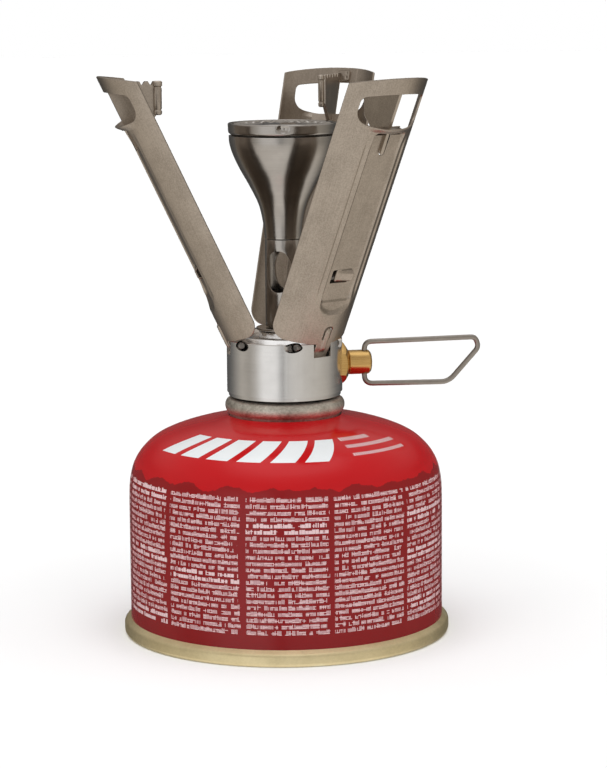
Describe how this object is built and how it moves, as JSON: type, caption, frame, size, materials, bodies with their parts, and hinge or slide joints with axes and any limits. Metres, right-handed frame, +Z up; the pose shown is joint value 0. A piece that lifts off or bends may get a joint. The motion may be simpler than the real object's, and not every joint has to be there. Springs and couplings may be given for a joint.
{
  "type": "canister stove",
  "caption": "Folding gas stove screwed on a short gas canister: sheet-metal legs with toothed pan supports open around a bell burner, with a brass valve and a wire handle.",
  "frame": {"origin": "on the ground plane the canister stands on, under the middle of the whole outline; the canister's own axis stands 3.1 mm towards -X of it, because the wire handle reaches further than the leg opposite", "axes": "+Z up along the canister's axis, +X along the valve and its wire handle, legs at 60, 180 and 300 degrees from +X"},
  "size_m": [0.1107, 0.0948, 0.1594],
  "materials": {
    "red_paint": "glossy red printed lacquer on drawn steel",
    "gold_lacquer": "satin gold lacquer on tinplate",
    "tinplate": "dull tinplate",
    "stainless": "warm grey stainless sheet, lightly tumbled",
    "brushed_steel": "turned and brushed stainless",
    "aluminium": "satin turned aluminium",
    "brass": "bright turned brass",
    "rubber": "matt black rubber",
    "valve_plastic": "natural plastic"
  },
  "bodies": {
    "canister": {"canister_shell": "red_paint", "canister_base": "gold_lacquer", "valve_cup": "tinplate", "threaded_nipple": "tinplate", "canister_valve_housing": "valve_plastic", "canister_valve_spring": "brushed_steel", "canister_gasket": "rubber"},
    "valve_stem": {"canister_valve_stem": "valve_plastic"},
    "stove": {"stove_body": "aluminium", "inlet_seal": "rubber", "opener_pin": "brass", "regulator_diaphragm": "rubber", "regulator_spring": "brushed_steel", "regulator_cap": "aluminium", "gland_nut": "brass", "tube_foot": "brushed_steel", "jet": "brass", "mixing_tube": "brushed_steel", "burner_bell": "brushed_steel", "burner_cap": "brushed_steel", "flame_plate": "brushed_steel", "hinge_pin_1": "brushed_steel", "hinge_pin_2": "brushed_steel", "hinge_pin_3": "brushed_steel"},
    "leg_1": {"leg_1_shell": "stainless", "leg_1_blade": "stainless"},
    "leg_2": {"leg_2_shell": "stainless", "leg_2_blade": "stainless"},
    "leg_3": {"leg_3_shell": "stainless", "leg_3_blade": "stainless"},
    "spindle": {"valve_spindle": "brass", "spindle_o_ring": "rubber"},
    "handle": {"wire_handle": "brushed_steel"}
  },
  "joints": [
    {"name": "stove_off", "type": "slide", "parent": "canister", "child": "stove", "axis": [0, 0, 1], "range_m": [0, 0.03]},
    {"name": "stem_rise", "type": "slide", "parent": "canister", "child": "valve_stem", "axis": [0, 0, 1], "range_m": [0, 0.0015], "deforming": ["canister_valve_spring"]},
    {"name": "leg_1_fold", "type": "hinge", "parent": "stove", "child": "leg_1", "pos_m": [0.00384, 0.01195, 0.0838], "axis": [0.866, -0.5, 0], "range_deg": [0, 24]},
    {"name": "leg_2_fold", "type": "hinge", "parent": "stove", "child": "leg_2", "pos_m": [-0.01686, 0, 0.0838], "axis": [0, 1, 0], "range_deg": [0, 24]},
    {"name": "leg_3_fold", "type": "hinge", "parent": "stove", "child": "leg_3", "pos_m": [0.00384, -0.01195, 0.0838], "axis": [-0.866, -0.5, 0], "range_deg": [0, 24]},
    {"name": "valve_turn", "type": "hinge", "parent": "stove", "child": "spindle", "pos_m": [0.01694, 0, 0.0769], "axis": [1, 0, 0], "range_deg": [0, 540]},
    {"name": "handle_fold", "type": "hinge", "parent": "spindle", "child": "handle", "pos_m": [0.02024, 0, 0.0769], "axis": [0, 0, 1], "range_deg": [-90, 90]}
  ],
  "couplings": [
    {"joint": "stem_rise", "follows": "stove_off", "ratio": 0.05}
  ]
}
